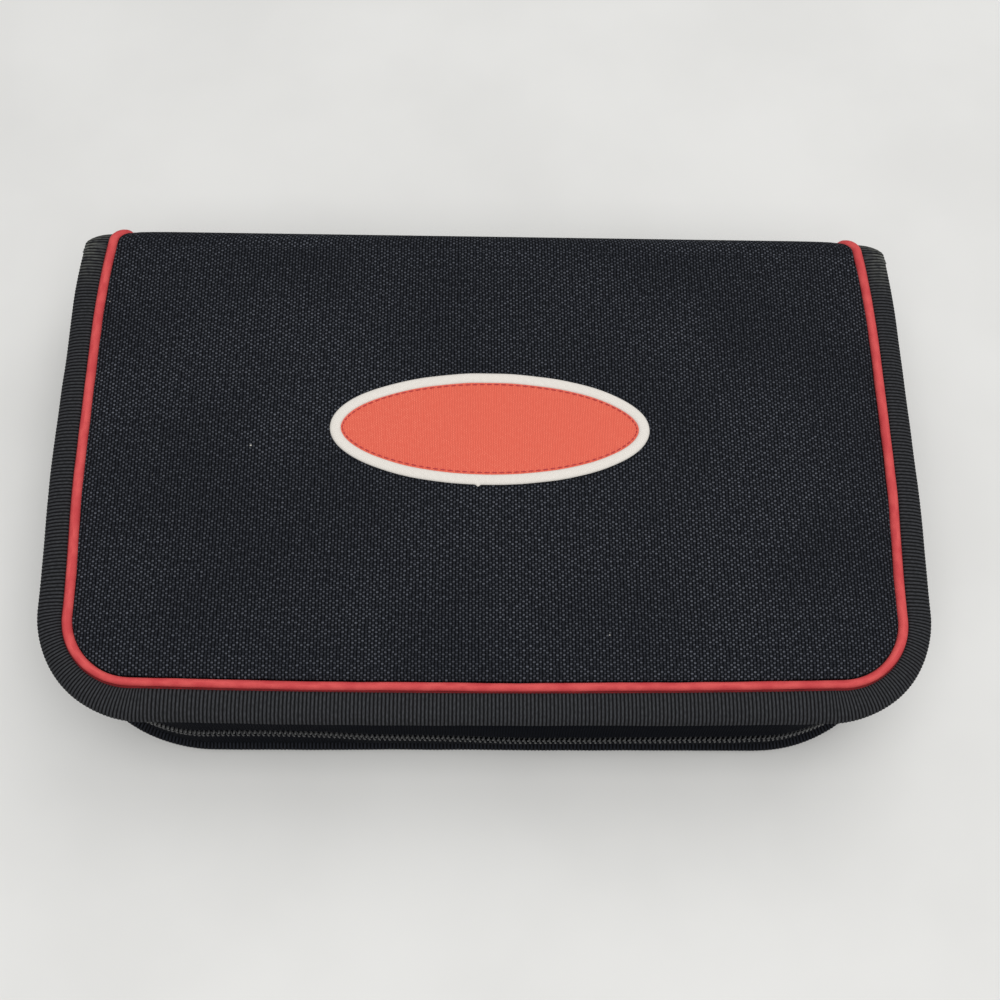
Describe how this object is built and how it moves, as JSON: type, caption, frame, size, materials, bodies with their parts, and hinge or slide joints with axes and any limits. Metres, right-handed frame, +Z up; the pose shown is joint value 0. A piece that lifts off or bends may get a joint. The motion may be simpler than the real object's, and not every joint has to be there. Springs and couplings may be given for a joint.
{
  "type": "travel word tile game case",
  "caption": "Flat zip-round fabric folio with padded covers and red piping that opens flat to show a folding grid board, tile racks and a tile bag.",
  "frame": {"origin": "centre of the closed case's footprint, at the level of the surface that it lies on", "axes": "+X along the spine, +Y from the zip's front to the spine, +Z up through the lid"},
  "size_m": [0.266, 0.163, 0.0463],
  "materials": {
    "cover_fabric": "black woven polyester with a fine plain weave, matt",
    "foam": "thin grey padding foam",
    "stiffener": "black plastic board",
    "lining": "black smooth nylon lining",
    "edge_binding": "black grosgrain ribbon with ribs across it",
    "piping": "red woven piping over a cord",
    "zip_tape": "black herringbone zip tape",
    "zip_coil": "black nylon coil",
    "zip_metal": "black lacquered zinc",
    "board": "dark green moulded plastic, fine spark texture",
    "board_grid": "cream moulded plastic ridges",
    "steel_pin": "drawn steel wire",
    "rivet": "plated steel",
    "rack": "red moulded plastic, satin",
    "elastic": "black woven elastic",
    "pocket": "black knitted mesh cloth",
    "bag_cloth": "red nylon bag cloth",
    "tile": "ivory moulded plastic, satin",
    "paper": null,
    "badge_field": "coral red twill, bare",
    "badge_border": "off-white merrowed yarn"
  },
  "bodies": {
    "base": {"base_cover_fabric": "cover_fabric", "base_foam_pad": "foam", "base_stiffener": "stiffener", "base_lining": "lining", "base_edge_binding": "edge_binding", "base_piping": "piping", "lower_zip_tape": "zip_tape", "lower_zip_coil": "zip_coil", "lower_zip_stops": "zip_metal", "board_lower_half": "board", "board_lower_grid": "board_grid", "board_hinge_pins": "steel_pin", "board_rivets": "rivet", "tile_rack_1": "rack", "tile_rack_2": "rack", "tile_rack_3": "rack", "tile_rack_4": "rack", "rack_elastic_straps": "elastic"},
    "spine": {"spine_cover_fabric": "cover_fabric", "spine_edge_binding": "edge_binding", "spine_piping": "piping", "spine_foam_pad": "foam", "spine_stiffener": "stiffener", "spine_lining": "lining"},
    "lid": {"lid_cover_fabric": "cover_fabric", "lid_foam_pad": "foam", "lid_stiffener": "stiffener", "lid_lining": "lining", "lid_edge_binding": "edge_binding", "lid_piping": "piping", "upper_zip_tape": "zip_tape", "upper_zip_coil": "zip_coil", "upper_zip_stops": "zip_metal", "lid_tile_pocket": "pocket", "lid_pad_pocket": "pocket", "tile_bag": "bag_cloth", "letter_tiles": "tile", "score_pad": "paper", "badge_field": "badge_field", "badge_border": "badge_border"},
    "board": {"board_upper_half": "board", "board_upper_grid": "board_grid"},
    "slider": {"zip_slider": "zip_metal"},
    "pull": {"zip_pull": "zip_metal"}
  },
  "joints": [
    {"name": "spine_fold", "type": "hinge", "parent": "base", "child": "spine", "pos_m": [0, 0.08021, 0.00129], "axis": [-1, 0, 0], "range_deg": [0, 90]},
    {"name": "lid_fold", "type": "hinge", "parent": "spine", "child": "lid", "pos_m": [0, 0.08021, 0.04371], "axis": [-1, 0, 0], "range_deg": [0, 90]},
    {"name": "board_fold", "type": "hinge", "parent": "base", "child": "board", "pos_m": [0, 0.0731, 0.01345], "axis": [-1, 0, 0], "range_deg": [0, 180]},
    {"name": "slider_travel", "type": "slide", "parent": "base", "child": "slider", "axis": [0, -1, 0], "range_m": [0, 0.098]},
    {"name": "pull_tab_swing", "type": "hinge", "parent": "slider", "child": "pull", "pos_m": [0.1305, 0.0615, 0.0225], "axis": [0, 0, 1], "range_deg": [0, 150]}
  ],
  "couplings": [
    {"joint": "lid_fold", "follows": "spine_fold", "ratio": 1},
    {"joint": "board_fold", "follows": "spine_fold", "ratio": 2}
  ]
}
